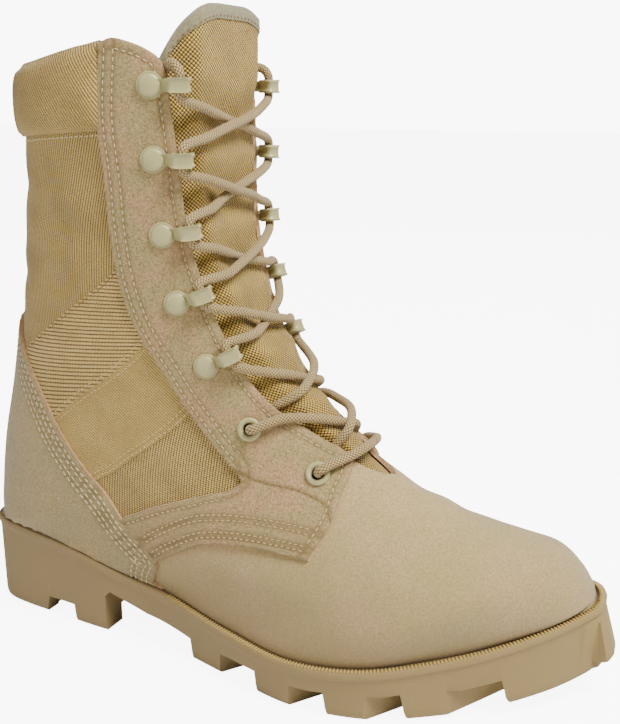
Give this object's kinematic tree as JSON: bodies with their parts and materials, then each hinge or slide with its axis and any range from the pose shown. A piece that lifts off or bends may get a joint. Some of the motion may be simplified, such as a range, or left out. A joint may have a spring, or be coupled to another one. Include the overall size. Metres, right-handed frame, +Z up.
{
  "type": "combat boot",
  "caption": "Tall lace-up desert boot for the right foot, with a suede heel cup, woven shaft, speed-lace loops and a deep lugged sole.",
  "frame": {"origin": "on the floor, at the centre of the tread block at the back of the heel", "axes": "+X forward to the toe, +Y to the wearer's left, which is the inner side of this right foot, +Z up"},
  "size_m": [0.305, 0.1102, 0.2888],
  "materials": {
    "rubber_sole": "matte",
    "suede": "rough suede",
    "woven_nylon": "ribbed weave",
    "lining": "felted",
    "painted_hardware": "semi-gloss",
    "lace_cord": "braided"
  },
  "bodies": {
    "root": {"outsole": "rubber_sole", "insole": "lining", "upper": "woven_nylon", "tongue": "woven_nylon", "heel_counter": "suede", "eyestay_lateral": "suede", "eyestay_medial": "suede", "collar_cuff": "woven_nylon", "speedlace_lateral_1": "painted_hardware", "speedlace_lateral_2": "painted_hardware", "speedlace_lateral_3": "painted_hardware", "speedlace_lateral_4": "painted_hardware", "speedlace_lateral_5": "painted_hardware", "eyelet_lateral_1": "painted_hardware", "eyelet_lateral_2": "painted_hardware", "speedlace_medial_1": "painted_hardware", "speedlace_medial_2": "painted_hardware", "speedlace_medial_3": "painted_hardware", "speedlace_medial_4": "painted_hardware", "speedlace_medial_5": "painted_hardware", "eyelet_medial_1": "painted_hardware", "eyelet_medial_2": "painted_hardware", "lace_crossing_1": "lace_cord", "lace_crossing_2": "lace_cord", "lace_crossing_3": "lace_cord", "lace_crossing_4": "lace_cord", "lace_crossing_5": "lace_cord", "lace_crossing_6": "lace_cord", "lace_bar": "lace_cord"}
  },
  "joints": []
}
